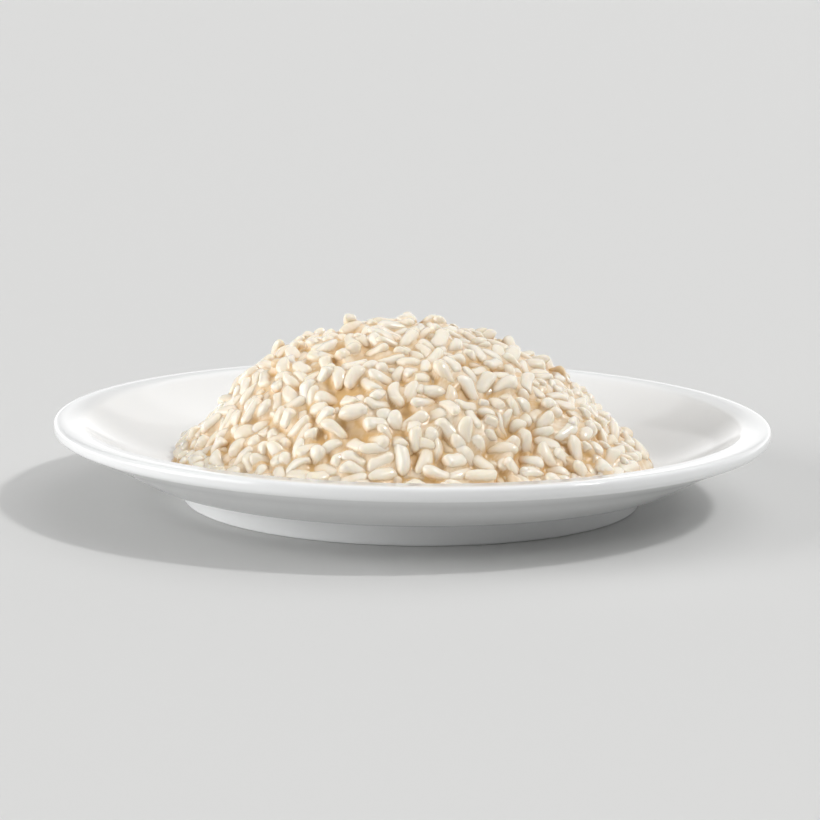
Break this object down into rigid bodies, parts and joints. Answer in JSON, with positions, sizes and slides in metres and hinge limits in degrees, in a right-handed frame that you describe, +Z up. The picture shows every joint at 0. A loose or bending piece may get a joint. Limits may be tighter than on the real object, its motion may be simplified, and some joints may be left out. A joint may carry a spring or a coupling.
{
  "type": "plate of parmesan risotto",
  "caption": "Heap of creamy parmesan risotto on a round white rimmed porcelain plate, served as a main dish.",
  "frame": {"origin": "on the table under the middle of the plate", "axes": "+Z up, square to the table; the plate is round, so +X is any side, taken as the picture's right, and -Y as its front"},
  "size_m": [0.24, 0.24, 0.06],
  "materials": {
    "white_glazed_porcelain": "gloss",
    "creamy_risotto_rice": "satin"
  },
  "bodies": {
    "root": {"plate": "white_glazed_porcelain", "risotto": "creamy_risotto_rice"}
  },
  "joints": []
}
